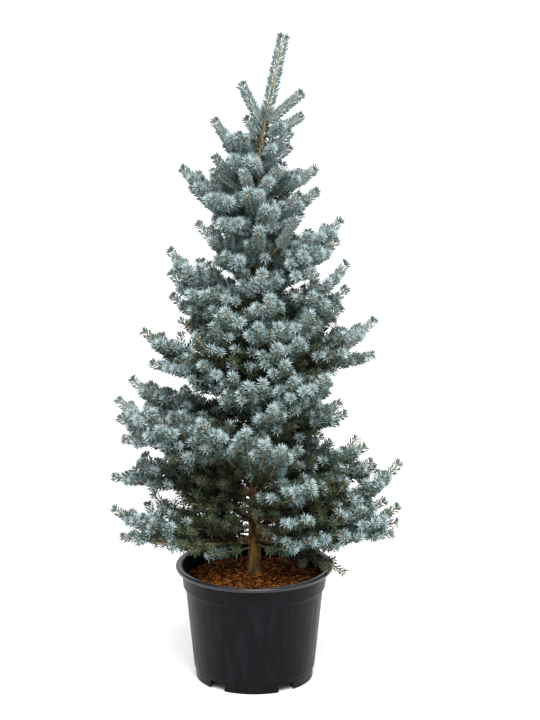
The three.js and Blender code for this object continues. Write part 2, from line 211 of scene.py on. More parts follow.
def cutter(shape, first, count):
    """One object made of a shape repeated round the upright axis, to be cut out of the pot."""
    bm = bmesh.new()
    for n in range(count):
        turn = Matrix.Rotation(math.radians(first + n * 360 / count), 4, "Z")
        shape(bm, turn)
    tool = bpy.data.objects.new("cutter", finished(bm, "cutter"))
    scene.collection.objects.link(tool)
    return tool


def notch_shape(bm, turn):
    """A block with rounded upper corners, to be cut out of the foot ring."""
    size = Matrix.Diagonal((NOTCH["depth"], NOTCH["width"], 2 * NOTCH["height"], 1))
    made = bmesh.ops.create_cube(bm, size=1, matrix=turn @ Matrix.Translation((FOOT, 0, 0)) @ size)
    corners = [edge for edge in {edge for vert in made["verts"] for edge in vert.link_edges}
               if all(vert.co.z > 0 for vert in edge.verts) and abs(edge.calc_length() - NOTCH["depth"]) < MM]
    bmesh.ops.bevel(bm, geom=corners, offset=NOTCH["round"], segments=3, profile=0.5, affect="EDGES",
                    material=-1)


def drain_shape(bm, turn):
    """A round plug, to be cut out of the pot's floor."""
    bmesh.ops.create_cone(bm, cap_ends=True, segments=24, radius1=DRAIN["radius"], radius2=DRAIN["radius"],
                          depth=DRAIN["depth"], matrix=turn @ Matrix.Translation((DRAIN["ring"], 0, CHANNEL)))


def cut_out(piece, tool):
    """Takes the tool's shape out of the piece for good."""
    cut = piece.modifiers.new("cut", "BOOLEAN")
    cut.object = tool
    cut.operation = "DIFFERENCE"
    cut.solver = "EXACT"
    bpy.context.view_layer.update()
    result = bpy.data.meshes.new_from_object(piece.evaluated_get(bpy.context.evaluated_depsgraph_get()))
    piece.modifiers.clear()
    piece.data = result
    bpy.data.objects.remove(tool)


mottle = bpy.data.node_groups.new("mottle", "ShaderNodeTree")
mottle.interface.new_socket("Vector", in_out="INPUT", socket_type="NodeSocketVector")
for name, start in (("Size", 100), ("Detail", 4), ("Low", 0.4), ("High", 0.6)):
    mottle.interface.new_socket(name, in_out="INPUT", socket_type="NodeSocketFloat").default_value = start
for name, side, kind in (("Colour 1", "INPUT", "NodeSocketColor"), ("Colour 2", "INPUT", "NodeSocketColor"),
                         ("Colour", "OUTPUT", "NodeSocketColor"), ("Mask", "OUTPUT", "NodeSocketFloat")):
    mottle.interface.new_socket(name, in_out=side, socket_type=kind)
given = mottle.nodes.new("NodeGroupInput")
made = mottle.nodes.new("NodeGroupOutput")
cloud = mottle.nodes.new("ShaderNodeTexNoise")
spread = mottle.nodes.new("ShaderNodeMapRange")
blend = mottle.nodes.new("ShaderNodeMix")
blend.data_type = "RGBA"
wire(
    mottle,
    (given, "Vector", cloud, "Vector"), (given, "Size", cloud, "Scale"), (given, "Detail", cloud, "Detail"),
    (cloud, "Fac", spread, "Value"), (given, "Low", spread, "From Min"), (given, "High", spread, "From Max"),
    (spread, "Result", blend, "Factor"), (given, "Colour 1", blend, "A"), (given, "Colour 2", blend, "B"),
    (blend, "Result", made, "Colour"), (spread, "Result", made, "Mask"),
)
BLACK, WHITE = srgb(0, 0, 0), srgb(255, 255, 255)


def mottled(tree, place, size, low, high, first=BLACK, second=WHITE, detail=4):
    """The mottle group in a material: two colours in patches of a size, given in patches for each metre."""
    node = tree.nodes.new("ShaderNodeGroup")
    node.node_tree = mottle
    given = {"Vector": place, "Size": size, "Detail": detail, "Low": low, "High": high}
    for socket, value in {**given, "Colour 1": first, "Colour 2": second}.items():
        if isinstance(value, bpy.types.NodeSocket):
            tree.links.new(value, node.inputs[socket])
        else:
            node.inputs[socket].default_value = value
    return node


def stretched(tree, scale=(1, 1, 1)):
    """Object coordinates, stretched by a scale along each axis."""
    place = tree.nodes.new("ShaderNodeTexCoord")
    mapping = tree.nodes.new("ShaderNodeMapping")
    mapping.inputs["Scale"].default_value = scale
    wire(tree, (place, "Object", mapping, "Vector"))
    return mapping.outputs["Vector"]


def bump(tree, height, distance, strength, before=None):
    """A Bump node on a height, on top of the one before it."""
    node = tree.nodes.new("ShaderNodeBump")
    node.inputs["Distance"].default_value = distance
    node.inputs["Strength"].default_value = strength
    tree.links.new(height, node.inputs["Height"])
    if before:
        wire(tree, (before, "Normal", node, "Normal"))
    return node


plastic, tree, shader = new_material("charcoal_plastic", Specular_IOR_Level=0.09)
upright = stretched(tree, (1, 1, 0.16))
streaks = mottled(tree, upright, 60, 0.45, 0.75, srgb(7, 8, 10), srgb(19, 20, 25), detail=3)
dust = mottled(tree, stretched(tree), 420, 0.62, 0.8, streaks.outputs["Colour"], srgb(36, 36, 38))
rough = tree.nodes.new("ShaderNodeMapRange")
rough.inputs["To Min"].default_value = 0.34
rough.inputs["To Max"].default_value = 0.5
grain = mottled(tree, stretched(tree), 1500, 0.3, 0.7)
relief = bump(tree, grain.outputs["Mask"], 0.12 * MM, 0.6)
wire(tree, (dust, "Colour", shader, "Base Color"), (streaks, "Mask", rough, "Value"),
     (rough, "Result", shader, "Roughness"), (relief, "Normal", shader, "Normal"))

# Inside the foot channel, under the pot, the plastic is painted near black as shade, with no specular.
painted_shade_plastic, _, _ = new_material("foot_channel_painted_shade", Base_Color=srgb(3, 3, 2), Specular_IOR_Level=0)
polished, _, _ = new_material("polished_lip", Base_Color=srgb(16, 17, 20), Roughness=0.24)
pot = put_in_scene("pot_shell", pot_mesh, "pot", plastic, painted_shade_plastic, polished)
# Faces inside the foot channel take the painted shade; faces on the lip take the polished plastic.
for face in pot_mesh.polygons:
    if face.center.z < CHANNEL + WALL and face.center.xy.length < FOOT - MM:
        face.material_index = 1
    if face.center.z > LIP_Z and face.center.xy.length > COLLAR_TOP:
        face.material_index = 2
cut_out(pot, cutter(notch_shape, NOTCH["first"], NOTCH["count"]))
cut_out(pot, cutter(drain_shape, DRAIN["first"], DRAIN["count"]))
pot.data.shade_smooth()
pot.data.set_sharp_from_angle(angle=math.radians(SHARPEST_SMOOTH))
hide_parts("pot")

# ---------------------------------------- soil
# Bark compost under a mulch of shredded bark and coir. The bed is one turned dome with lumps in its top,
# and the mulch is thousands of loose bent shreds that lie on it, in three tones.
SOIL_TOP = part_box("soil")[1][2]
SOIL_SHOULDER = 0.242
SOIL_EDGE = 0.232
SOIL_FLOOR = 20 * MM
SOIL_RADIUS = COLLAR_FOOT - WALL + 0.5 * MM
FLAT_RADIUS, SHOULDER_SHARE = 26 * MM, 0.6
MULCH_DEPTH = 1.5 * MM
SOIL_RINGS, SOIL_STEPS = 46, 150
LUMPS = {"size": 90, "height": 2.6 * MM, "sunk": 0.5 * MM}
SHRED = {"uneven": (0.5, 1.5), "slope": 0.35, "curl": 1.1, "lift": (-0.2, 3.2), "girth": (0.5, 1, 0.9, 0.35)}
rng = np.random.default_rng(7)


def soil_height(radius):
    """Height of the bed at a distance from its middle."""
    tops = (SOIL_TOP - MULCH_DEPTH, SOIL_SHOULDER, SOIL_EDGE - MULCH_DEPTH)
    return np.interp(radius, (FLAT_RADIUS, SOIL_RADIUS * SHOULDER_SHARE, SOIL_RADIUS), tops)


top_radii = np.linspace(0, SOIL_RADIUS, SOIL_RINGS)
bed_outline = [(0, SOIL_FLOOR), (BODY_FOOT - 2 * WALL, SOIL_FLOOR)]
bed_outline += [(BODY_TOP - WALL - 0.5 * MM, COLLAR_Z - 2 * MM)]
bed_outline += [(float(radius), float(soil_height(radius))) for radius in top_radii[::-1]]
bm = turned(bed_outline, SOIL_STEPS)
for vert in bm.verts:
    if vert.co.z > COLLAR_Z and vert.co.xy.length < SOIL_RADIUS - 2 * MM:
        lump = noise.fractal(vert.co * LUMPS["size"], 0.7, 2, 4)
        vert.co.z += LUMPS["height"] * lump - LUMPS["sunk"]
bed_mesh = finished(bm, "soil_bed")
compost, tree, shader = new_material("bark_compost", Roughness=0.95, Specular_IOR_Level=0.2)
crumbs = mottled(tree, stretched(tree), 260, 0.4, 0.62, srgb(16, 8, 1), srgb(60, 29, 4), detail=6)
fine = mottled(tree, stretched(tree), 900, 0.3, 0.7)
relief = bump(tree, crumbs.outputs["Mask"], 2.5 * MM, 0.8)
relief = bump(tree, fine.outputs["Mask"], 0.8 * MM, 0.7, relief)
wire(tree, (crumbs, "Colour", shader, "Base Color"), (relief, "Normal", shader, "Normal"))
bed = put_in_scene("soil_bed", bed_mesh, "soil", compost)
bed_mesh.shade_smooth()
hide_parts("soil")


def unit(vectors):
    """The vectors at a length of 1."""
    return vectors / np.maximum(np.linalg.norm(vectors, axis=-1, keepdims=True), 1e-12)


def joined(name, vertices, faces):
    """One mesh of many small bodies, from their corners and triangles."""
    mesh = bpy.data.meshes.new(name)
    mesh.from_pydata(vertices.reshape(-1, 3), [], faces.reshape(-1, 3))
    return mesh


def tubes(lines, radii, sides):
    """Closed tubes, one for each line: corners and triangles. lines is tube, station, 3 and radii is
    tube, station. Both ends are capped by a fan on their first corner."""
    count, stations, _ = lines.shape
    along = unit(np.gradient(lines, axis=1))
    left = unit(np.cross((0, 0, 1.0), along) + 1e-6)
    over = np.cross(along, left)
    turn = 2 * np.pi * np.arange(sides) / sides
    ring = left[:, :, None] * np.cos(turn)[:, None] + over[:, :, None] * np.sin(turn)[:, None]
    vertices = lines[:, :, None] + ring * radii[:, :, None, None]
    low = np.arange(stations - 1)[:, None] * sides + np.arange(sides)
    next_low = np.arange(stations - 1)[:, None] * sides + (np.arange(sides) + 1) % sides
    wall = [np.stack((low, next_low, next_low + sides), -1)]
    wall.append(np.stack((low, next_low + sides, low + sides), -1))
    fan = np.arange(1, sides - 1)
    foot = np.stack((0 * fan, fan + 1, fan), -1)
    tip = np.stack((0 * fan, fan, fan + 1), -1) + (stations - 1) * sides
    faces = np.concatenate([part.reshape(-1, 3) for part in (*wall, foot, tip)])
    return vertices.reshape(count, -1, 3), faces


def mulch(name, count, tint, length, thickness):
    """Shreds of one tone, each a bent sliver of three sides that lies on the bed at its own slope."""
    place = np.sqrt(rng.uniform(0, 1, count)) * (SOIL_RADIUS - 5 * MM)
    bearing = rng.uniform(0, 2 * np.pi, count)
    middle = np.stack((place * np.cos(bearing), place * np.sin(bearing), soil_height(place)), -1)
    size = length * rng.uniform(*SHRED["uneven"], count)
    heading = rng.uniform(0, 2 * np.pi, count)
    slope = rng.uniform(-SHRED["slope"], SHRED["slope"], count)
    curl = rng.uniform(-SHRED["curl"], SHRED["curl"], (count, 2))
    share = np.linspace(-0.5, 0.5, len(SHRED["girth"]))
    bent = heading[:, None] + curl[:, :1] * share * 2
    step = np.stack((np.cos(bent), np.sin(bent), slope[:, None] + curl[:, 1:] * share), -1)
    lines = np.cumsum(step * size[:, None, None] / (len(share) - 1), axis=1)
    lines += (middle - lines.mean(axis=1))[:, None]
    lines[:, :, 2] += rng.uniform(*SHRED["lift"], count)[:, None] * MM
    inside = np.linalg.norm(lines[:, :, :2], axis=-1).max(axis=1) < SOIL_RADIUS - 1.5 * MM
    lines = lines[inside]
    radii = thickness * rng.uniform(0.6, 1.4, (len(lines), 1)) * np.array(SHRED["girth"])
    vertices, faces = tubes(lines, radii, 3)
    offsets = np.arange(len(lines))[:, None, None] * vertices.shape[1]
    material, _, _ = new_material(name, Base_Color=tint, Roughness=0.85, Specular_IOR_Level=0.1)
    return put_in_scene(name, joined(name, vertices, faces + offsets), "soil", material)


mulch("mulch_dark", 3000, srgb(29, 14, 2), 13 * MM, 1.3 * MM)
mulch("mulch_rust", 3000, srgb(98, 51, 8), 12 * MM, 1.1 * MM)
mulch("mulch_straw", 1600, srgb(200, 130, 54), 14 * MM, 0.6 * MM)

# ---------------------------------------- trunk and boughs
# The living wood: one trunk that tapers from its root flare to the leader, and a bough from every place
# on the trunk that the frame's limbs and masses grow from, with shorter boughs between them. Sizes in this
# section are those of the frame's own growth rule, in millimetres, and come out in metres.
TREE_TOP = 1500
GROUND = 250
TRUNK = {"foot": 15.6, "tip": 1.6, "taper": 1.15, "flare": 5, "flare_height": 14}
LEAN = {"drift": 12, "kink": 1242, "slope": 0.213, "soft": 18, "sway": 4, "wave": 600}
LEADER_FROM = 1318
LIMB = {"base": 1.5, "per_reach": 0.0125, "taper": 0.75, "least": 1.9, "swell": 0.35, "swell_fade": 14}
TRUNK_RINGS = {"below": 4, "flare": 60, "in_flare": 34, "above": 190, "sides": 26}
LIMB_RINGS, LIMB_SIDES = 16, 8
BARK_AGE = {"young": 3, "span": 11, "limb": 3.5, "trunk_within": 1.3}
# Near the trunk, low in the crown, the bark is painted with its old colour as shade, which fades out above
# lit_from.
BARK_PAINTED_SHADE = {"at_trunk": 0.9, "low_reach": 0.22, "high_reach": 0.16, "high_from": 0.7, "lit_from": 0.9, "lit": 3}
FURROWS = {"across": 95, "along": 24, "depth": 0.055, "middle": 1.1}

# Height of the root on the trunk, bearing in degrees (0 right, 90 back, 180 left, 270 front), reach, rise,
# sag, and the share of the length where the foliage begins (0: at the trunk).
BOUGHS = {
    "low_left": (335, 186, 325, 80, -0.6, 0.3),
    "low_right": (350, 349, 335, 80, -0.95, 0.34),
    "low_back_left": (365, 135, 315, 75, 0.6, 0.3),
    "low_back_right": (350, 45, 320, 90, 0.2, 0.3),
    "low_front_right": (330, 312, 200, 40, 0.3, 0),
    "low_right_droop": (325, 345, 215, -60, 0, 0),
    "low_front_left": (310, 222, 140, 10, 0.4, 0),
    "second_left": (415, 176, 325, 55, 0.8, 0.3),
    "second_left_high": (430, 191, 315, 250, 0.3, 0.3),
    "second_front_left": (470, 242, 250, 205, 0.3, 0.3),
    "second_front": (440, 266, 250, 220, 0.3, 0.3),
    "second_right_front": (410, 303, 240, 100, 0.3, 0),
    "second_right": (430, 24, 260, 110, -0.3, 0),
    "mid_right": (390, 3, 335, 120, -0.75, 0.32),
    "second_back_left": (440, 118, 255, 135, 0.25, 0.3),
    "second_back_right": (440, 62, 290, 130, 0.25, 0.3),
    "third_left": (500, 168, 290, 195, 0.25, 0.3),
    "third_front_right": (556, 310, 250, 212, 0.4, 0.48),
    "third_front": (600, 266, 195, 150, 0.3, 0),
    "third_right": (545, 8, 210, 75, 0.4, 0),
    "third_back": (584, 92, 265, 100, 0.25, 0),
    "fourth_left": (664, 180, 255, 160, 0.18, 0.4),
    "fourth_right": (680, 0, 270, 170, 0.2, 0.34),
    "fourth_front": (735, 272, 190, 150, 0.3, 0),
    "fourth_front_left": (690, 223, 185, 155, 0.3, 0),
    "fourth_front_right": (695, 298, 205, 155, 0.3, 0),
    "fourth_back": (700, 90, 240, 135, 0.25, 0),
    "fifth_left": (780, 182, 195, 235, 0.35, 0),
    "fifth_right": (755, 357, 205, 230, 0.35, 0),
    "fifth_front_left": (786, 246, 172, 124, 0.3, 0),
    "fifth_back": (800, 95, 185, 160, 0.3, 0),
    "sixth_left": (938, 178, 134, 134, 0.35, 0),
    "sixth_right": (910, 2, 190, 170, 0.35, 0),
    "sixth_front": (884, 277, 112, 104, 0.25, 0),
    "sixth_back": (930, 90, 150, 120, 0.3, 0),
    "seventh_left": (1045, 181, 170, 155, 0.4, 0),
    "seventh_right": (1035, 358, 135, 115, 0.4, 0),
    "eighth_left": (1170, 184, 100, 140, 0.4, 0),
    "eighth_right": (1115, 5, 130, 80, 0.4, 0),
    "top_left": (1285, 186, 50, 105, 0.5, 0),
    "top_right": (1295, 352, 85, 75, 0.5, 0),
}
# Shorter boughs that fill the crown between those of the frame, within its reach: height of the root,
# bearing, reach, rise, and the sag where it differs from the usual.
BETWEEN = {
    "low_right_under": (345, 352, 330, 38),
    "low_right_low": (330, 350, 321, 29),
    "low_right_top": (360, 356, 300, 68, -0.4),
    "low_left_sprig": (330, 176, 235, 107, -0.6),
    "low_right_hang": (325, 335, 225, 48),
    "low_left_front": (326, 200, 320, 45),
    "low_left_under": (322, 212, 265, 43),
    "low_front_right_inner": (318, 296, 160, 35),
    "low_front_right_outer": (316, 301, 175, 37),
    "low_right_front": (350, 299, 240, 96),
    "inner_low_left": (345, 205, 150, 30),
    "inner_low_left_up": (368, 160, 170, 40),
    "inner_low_back_left": (380, 135, 150, 30),
    "inner_low_left_under": (355, 180, 165, 20),
    "inner_low_left_far": (330, 165, 170, 30),
    "inner_second_left": (402, 200, 160, 30),
    "inner_low_right": (385, 20, 150, 30),
    "inner_low_back_right": (365, 60, 150, 30),
    "mid_right_up": (395, 12, 286, 87),
    "mid_right_top": (410, 10, 275, 90),
    "mid_right_low": (385, 356, 275, 62),
    "second_left_mid": (405, 186, 309, 224, 0.5),
    "second_left_low": (428, 190, 302, 155, 0.9),
    "second_right_tip": (425, 12, 260, 109),
    "second_right_back": (420, 40, 229, 98),
    "second_front_low_right": (385, 299, 262, 150),
    "second_front_right": (430, 284, 250, 188),
    "second_front_mid": (440, 275, 262, 195),
    "third_left_mid": (495, 172, 245, 195),
    "third_left_back": (495, 140, 216, 156),
    "third_right_up": (548, 20, 208, 86),
    "third_front_low": (520, 281, 215, 182),
    "third_front_mid": (610, 275, 200, 148),
    "third_front_far": (600, 296, 200, 157),
    "third_front_left": (680, 228, 180, 100),
    "third_front_left_up": (620, 252, 165, 142),
    "third_back_left": (560, 130, 210, 40),
    "third_back_right": (570, 50, 220, 95),
    "fourth_left_low": (668, 194, 242, 95, 0.5),
    "fourth_right_up": (690, 20, 256, 120),
    "fourth_right_low": (684, 14, 277, 64, 0.5),
    "fourth_front_low": (640, 290, 200, 158),
    "fourth_front_mid": (680, 285, 190, 156),
    "fourth_front_far": (735, 310, 190, 166),
    "fourth_front_left_up": (715, 234, 160, 155),
    "fourth_back_left": (700, 128, 230, 130),
    "fourth_back_right": (700, 60, 235, 130),
    "fifth_left_low": (775, 165, 199, 118),
    "fifth_left_mid": (778, 175, 195, 179),
    "fifth_left_under": (745, 182, 172, 105),
    "fifth_left_up": (830, 150, 128, 137),
    "fifth_right_low": (760, 20, 209, 99),
    "fifth_right_mid": (758, 8, 209, 159),
    "fifth_front": (800, 282, 155, 140),
    "fifth_front_low": (720, 287, 180, 159),
    "sixth_left_low": (895, 176, 104, 62),
    "sixth_left_up": (985, 165, 97, 100),
    "sixth_right_low": (905, 352, 183, 136),
    "sixth_right_mid": (925, 10, 160, 110),
    "sixth_front_right": (970, 322, 110, 127),
    "sixth_back_left": (930, 135, 150, 110),
    "sixth_back_right": (950, 60, 150, 110),
    "seventh_front": (990, 273, 95, 91),
    "seventh_left_low": (1045, 190, 150, 118),
    "seventh_right_low": (1020, 350, 108, 109),
    "seventh_right_up": (1060, 20, 99, 122),
    "seventh_right_mid": (1060, 350, 100, 85),
    "seventh_right_under": (1000, 5, 100, 95),
    "seventh_front_left": (1110, 245, 75, 95),
    "seventh_front_left_low": (1075, 255, 88, 90),
    "seventh_front_right": (1045, 297, 89, 74),
    "eighth_front_right": (1140, 290, 72, 44),
    "eighth_front_right_up": (1150, 313, 69, 58),
    "eighth_front": (1100, 272, 84, 60),
    "ninth_front": (1185, 262, 60, 40),
    "seventh_front_up": (1060, 281, 92, 68),
    "seventh_back": (1050, 95, 120, 100),
    "eighth_left_low": (1130, 166, 103, 92),
    "eighth_left_under": (1120, 190, 99, 72),
    "eighth_back_right": (1150, 70, 100, 80),
    "ninth_right": (1222, 350, 72, 62),
    "ninth_right_low": (1200, 8, 71, 46),
    "ninth_left": (1200, 200, 53, 83),
    "ninth_back": (1210, 100, 75, 65),
    "top_right_low": (1269, 8, 91, 46),
    "top_left_low": (1275, 165, 40, 35),
    "top_back": (1285, 95, 45, 35),
}
UP = np.array((0, 0, 1.0))
BUD_BACK = 7
LEADER_BUD_BACK = 11


def trunk_at(z):
    """Centre of the trunk at a height: nearly upright, then leaning to the right above the last whorl."""
    z = np.asarray(z, float)
    share = np.clip((z - GROUND) / (LEAN["kink"] - GROUND), 0, 1)
    lean = LEAN["slope"] * LEAN["soft"] * np.log1p(np.exp((z - LEAN["kink"]) / LEAN["soft"]))
    sway = LEAN["sway"] * np.sin(np.pi * (z - GROUND) / LEAN["wave"])
    return np.stack((LEAN["drift"] * share ** 1.5 + lean, sway, z), -1)


def trunk_radius(z):
    """Radius of the trunk at a height, with its root flare."""
    left = np.clip((TREE_TOP - z) / (TREE_TOP - GROUND), 0, None)
    flare = TRUNK["flare"] * np.exp((GROUND - z) / TRUNK["flare_height"])
    return TRUNK["tip"] + (TRUNK["foot"] - TRUNK["tip"]) * left ** TRUNK["taper"] + flare


def limb_radius(reach, share):
    """Radius of a bough of this reach, at a share of its length."""
    return np.maximum(LIMB["least"], (LIMB["base"] + LIMB["per_reach"] * reach) * (1 - LIMB["taper"] * share))


def bough_curve(z, bearing, reach, rise, sag=0.3):
    """The three control points of a bough's curve."""
    root = trunk_at(z)
    out = np.array((math.cos(math.radians(bearing)), math.sin(math.radians(bearing)), 0))
    return np.array((root, root + out * reach / 2 + UP * rise * sag, root + out * reach + UP * rise))


def on(curve, share):
    """Points on a curve of three control points, at shares of its length."""
    s = np.asarray(share, float)[..., None]
    return (1 - s) ** 2 * curve[0] + 2 * s * (1 - s) * curve[1] + s ** 2 * curve[2]


def axes_on(curve, share):
    """Directions across a curve: to the left, upwards, and along it."""
    s = np.asarray(share, float)[..., None]
    along = unit((1 - s) * (curve[1] - curve[0]) + s * (curve[2] - curve[1]))
    left = np.cross(UP, along)
    steep = np.linalg.norm(left, axis=-1, keepdims=True) < 0.25
    left = unit(np.where(steep, np.array((1.0, 0, 0)) - along * along[..., :1], left))
    return left, np.cross(along, left), along


# Thin boughs between the whorls, one after another round the trunk at the golden angle. Low in front there
# are none, and one more is left out where it would fill a gap.
INNER = {"from": 352, "to": 880, "step": 30, "turn": 137.5, "reach": 0.5, "rise": 0.55,
         "uneven": 0.3, "wave": 2.3, "first": 40, "front_from": 480, "left_out": 9}
INNER_REACH = ((300, 460, 620, 900, 1200, 1400), (300, 320, 280, 190, 105, 60))
for number, z in enumerate(range(INNER["from"], INNER["to"], INNER["step"])):
    uneven = 1 + INNER["uneven"] * math.sin(number * INNER["wave"])
    reach = INNER["reach"] * float(np.interp(z, *INNER_REACH)) * uneven
    bearing = (number * INNER["turn"] + INNER["first"]) % 360
    in_front = z < INNER["front_from"] and 180 < bearing < 350
    if not in_front and number != INNER["left_out"]:
        BETWEEN[f"inner_{number}"] = (z, bearing, reach, INNER["rise"] * reach)

CURVES = {name: bough_curve(*bough[:5]) for name, bough in BOUGHS.items()}
CURVES["leader"] = np.array([trunk_at(z) for z in (LEADER_FROM, (LEADER_FROM + TREE_TOP) / 2, TREE_TOP)])
CURVES.update({name: bough_curve(*bough) for name, bough in BETWEEN.items()})


def station(centre, left, over, along, radius):
    """The matrix that puts a ring of radius 1 across a limb, in metres."""
    across = [axis * radius * MM for axis in (left, over)]
    return Matrix([[across[0][i], across[1][i], along[i], centre[i] * MM] for i in range(3)] + [[0, 0, 0, 1]])


def limb_by_rings(wood, stations, sides):
    """Adds a limb to the wood: a ring that is extruded from station to station and closed at both ends."""
    bm = bmesh.new()
    ring = bmesh.ops.create_circle(bm, cap_ends=True, segments=sides, radius=1, matrix=stations[0])["verts"]
    edges = list({edge for vert in ring for edge in vert.link_edges})
    for before, after in zip(stations, stations[1:]):
        moved = bmesh.ops.extrude_edge_only(bm, edges=edges)["geom"]
        edges = [item for item in moved if isinstance(item, bmesh.types.BMEdge)]
        ring = [item for item in moved if isinstance(item, bmesh.types.BMVert)]
        bmesh.ops.transform(bm, matrix=after @ before.inverted(), verts=ring)
    bmesh.ops.holes_fill(bm, edges=edges, sides=sides)
    limb = finished(bm, "limb")
    wood.from_mesh(limb)
    bpy.data.meshes.remove(limb)


bm = bmesh.new()
flare_end = GROUND + TRUNK_RINGS["flare"]
flare_heights = np.linspace(GROUND - TRUNK_RINGS["below"], flare_end, TRUNK_RINGS["in_flare"])[:-1]
heights = np.linspace(flare_end, TREE_TOP - LEADER_BUD_BACK, TRUNK_RINGS["above"])
heights = np.concatenate((flare_heights, heights))
FLAT_AXES = (np.array((1.0, 0, 0)), np.array((0, 1.0, 0)), UP)
rings = [station(trunk_at(z), *FLAT_AXES, trunk_radius(z)) for z in heights]
limb_by_rings(bm, rings, TRUNK_RINGS["sides"])
for name, bough in {**BOUGHS, **BETWEEN}.items():
    shares = np.linspace(0, 1 - BUD_BACK / bough[2], LIMB_RINGS)
    swelling = 1 + LIMB["swell"] * np.exp(-shares * LIMB["swell_fade"])
    thickness = limb_radius(bough[2], shares) * swelling
    rings = zip(on(CURVES[name], shares), *axes_on(CURVES[name], shares), thickness)
    limb_by_rings(bm, [station(*ring) for ring in rings], LIMB_SIDES)
bmesh.ops.recalc_face_normals(bm, faces=bm.faces)
bm.verts.ensure_lookup_table()
bm.normal_update()
# The bark ages from 0 to 1 with the girth of the wood. Near the trunk, low in the crown, it is also given its
# old colour as painted shade.
age_and_painted_shade = bm.verts.layers.float.new("age_and_painted_shade")
for vert in bm.verts:
    x, y, z = vert.co
    centre = trunk_at(z / MM) * MM
    distance = math.hypot(x - centre[0], y - centre[1])
    is_trunk = distance < BARK_AGE["trunk_within"] * trunk_radius(z / MM) * MM
    girth = trunk_radius(z / MM) if is_trunk else BARK_AGE["limb"]
    shade_reach = BARK_PAINTED_SHADE["low_reach"] if z < BARK_PAINTED_SHADE["high_from"] else BARK_PAINTED_SHADE["high_reach"]
    painted_shade = BARK_PAINTED_SHADE["at_trunk"] - distance / shade_reach - max(0, z - BARK_PAINTED_SHADE["lit_from"]) * BARK_PAINTED_SHADE["lit"]
    vert[age_and_painted_shade] = min(1, max(0, (girth - BARK_AGE["young"]) / BARK_AGE["span"], painted_shade))
    place = Vector((x * FURROWS["across"], y * FURROWS["across"], z * FURROWS["along"]))
    furrow = noise.ridged_multi_fractal(place, 0.9, 2, 4, 0.9, 2)
    vert.co += vert.normal * (FURROWS["depth"] * girth * MM) * (furrow - FURROWS["middle"])
bark_mesh = finished(bm, "bark")

bark, tree, shader = new_material("spruce_bark", Roughness=0.88, Specular_IOR_Level=0.25)
young = mottled(tree, stretched(tree, (1, 1, 0.5)), 150, 0.35, 0.65, srgb(122, 100, 68), srgb(170, 148, 108))
furrows = stretched(tree, (1, 1, 0.3))
old = mottled(tree, furrows, 110, 0.4, 0.62, srgb(38, 27, 11), srgb(120, 92, 50), detail=8)
moss_and_painted_shade = mottled(tree, stretched(tree, (1, 1, 0.6)), 45, 0.5, 0.68, old.outputs["Colour"], srgb(54, 46, 20))
# The bark runs from young to old and mossy with its age, and to the same colour near the trunk as painted
# shade.
age_and_shade_node = tree.nodes.new("ShaderNodeAttribute")
age_and_shade_node.attribute_name = "age_and_painted_shade"
age_and_shade_mix = tree.nodes.new("ShaderNodeMix")
age_and_shade_mix.data_type = "RGBA"
flakes = mottled(tree, furrows, 340, 0.35, 0.65, detail=6)
relief = bump(tree, flakes.outputs["Mask"], 0.9 * MM, 0.8)
wire(tree, (age_and_shade_node, "Fac", age_and_shade_mix, "Factor"), (young, "Colour", age_and_shade_mix, "A"), (moss_and_painted_shade, "Colour", age_and_shade_mix, "B"),
     (age_and_shade_mix, "Result", shader, "Base Color"), (relief, "Normal", shader, "Normal"))
wood = put_in_scene("trunk_and_boughs", bark_mesh, "bark", bark)
bark_mesh.shade_smooth()
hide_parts("trunk", *[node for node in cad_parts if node.startswith("limb_")])

# ---------------------------------------- twigs
# Every bough bears pairs of laterals, several for each season's growth back from its tip, and they bear
# shorter ones in their turn. A twig keeps to its own bough's space: it is shortened or left out where the
# next bough, the trunk, the soil or the pot is too near.
# A season's growth, its pairs, the least length that bears and the room are for boughs, twigs and theirs.
SEASON = (84, 56, 40)
PAIRS = (3, 2, 2)
BEARS_FROM = (0, 62, 48)
TWIG_ROOM = (-6, -14, -18)
CLEAN_STEPS = 2
SHORT_BOUGH = 200
INNERMOST = 0.1
FIRST_NODE = 0.2
SHARE, EXTRA, UNEVEN, WEAKER = 0.6, 10, 0.3, 0.85
LONGEST, SHORTEST = 118, 28
CUTS = (1, 0.75, 0.55, 0.4)
FORK, FORK_SPREAD = 47, 12
TILTS, TILT_SPREAD = (6, 48, -8), 20
LIFT = 0.12
LEAST_ROOM = 9
TESTED_AT = (0.6, 1)
NEXT_SEED = 3.7
CLEAR = {"mass": 1, "stem": 7, "bark": 1, "soil": 2, "rim": 9, "rim_in": 7, "rim_down": 6}
BARE = {"right": 6, "front": 30, "radius": ((300, 480, 600), (42, 36, 0))}
CROWN_REACH = ((300, 460, 620, 900, 1200, 1400), (330, 340, 300, 200, 110, 60))
TWIG = {"root": 2.3, "tip": 1.6, "full_girth_from": 90, "stations": 4, "old_and_shaded_within": 0.6}

# The boughs as tracks of short pieces, against which a twig's room is measured. Those of the frame are
# measured against each other, and those between them against all but the thin inner ones.
names = list(CURVES)
tracks = np.array([on(CURVES[name], np.linspace(0, 1, 9)) for name in names])
in_frame = len(BOUGHS) + 1
whorled = [number for number, name in enumerate(names) if not name.startswith("inner_")]
pieces_from = tracks[:, :-1]
pieces_along = tracks[:, 1:] - tracks[:, :-1]
pieces_length2 = (pieces_along ** 2).sum(-1)


def chance(seed, draw):
    """The seeded draw of the growth rule, from 0 to 1."""
    wave = math.sin(seed * 127.1 + draw * 311.7) * 43758.5453
    return wave - math.floor(wave)


